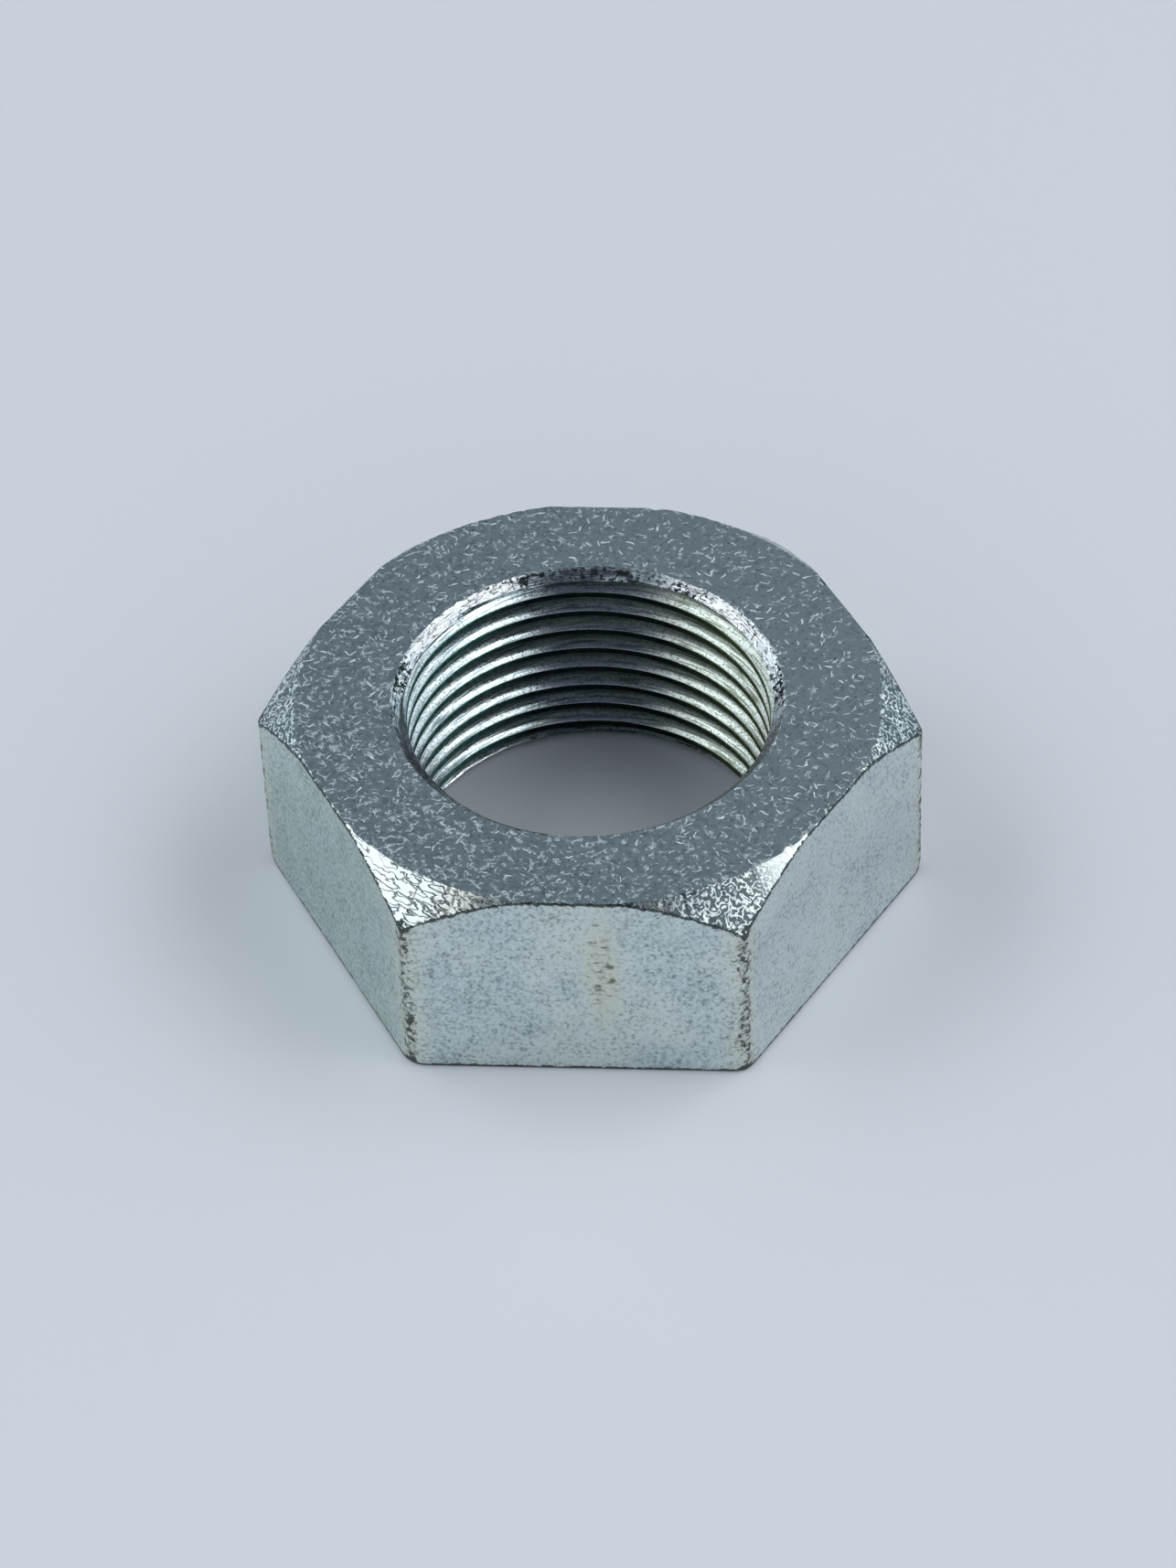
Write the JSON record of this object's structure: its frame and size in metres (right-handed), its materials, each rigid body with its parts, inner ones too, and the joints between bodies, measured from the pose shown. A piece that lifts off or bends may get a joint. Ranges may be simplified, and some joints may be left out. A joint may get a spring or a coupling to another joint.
{
  "type": "axle nut",
  "caption": "Thick hexagon axle nut with a fine right-hand thread, chamfered on one side and flat on the other, zinc plated.",
  "frame": {"origin": "centre of the flat bearing face, on the thread axis", "axes": "+Z along the thread axis, from the flat bearing face towards the chamfered face; two opposite spanner flats face +Y and -Y, and two opposite corners lie on X"},
  "size_m": [0.0548, 0.0476, 0.0191],
  "materials": {
    "zinc_plated_steel": "blue-white zinc plating over forged and machined steel, worn at the corners"
  },
  "bodies": {
    "root": {"axle_nut": "zinc_plated_steel"}
  },
  "joints": []
}
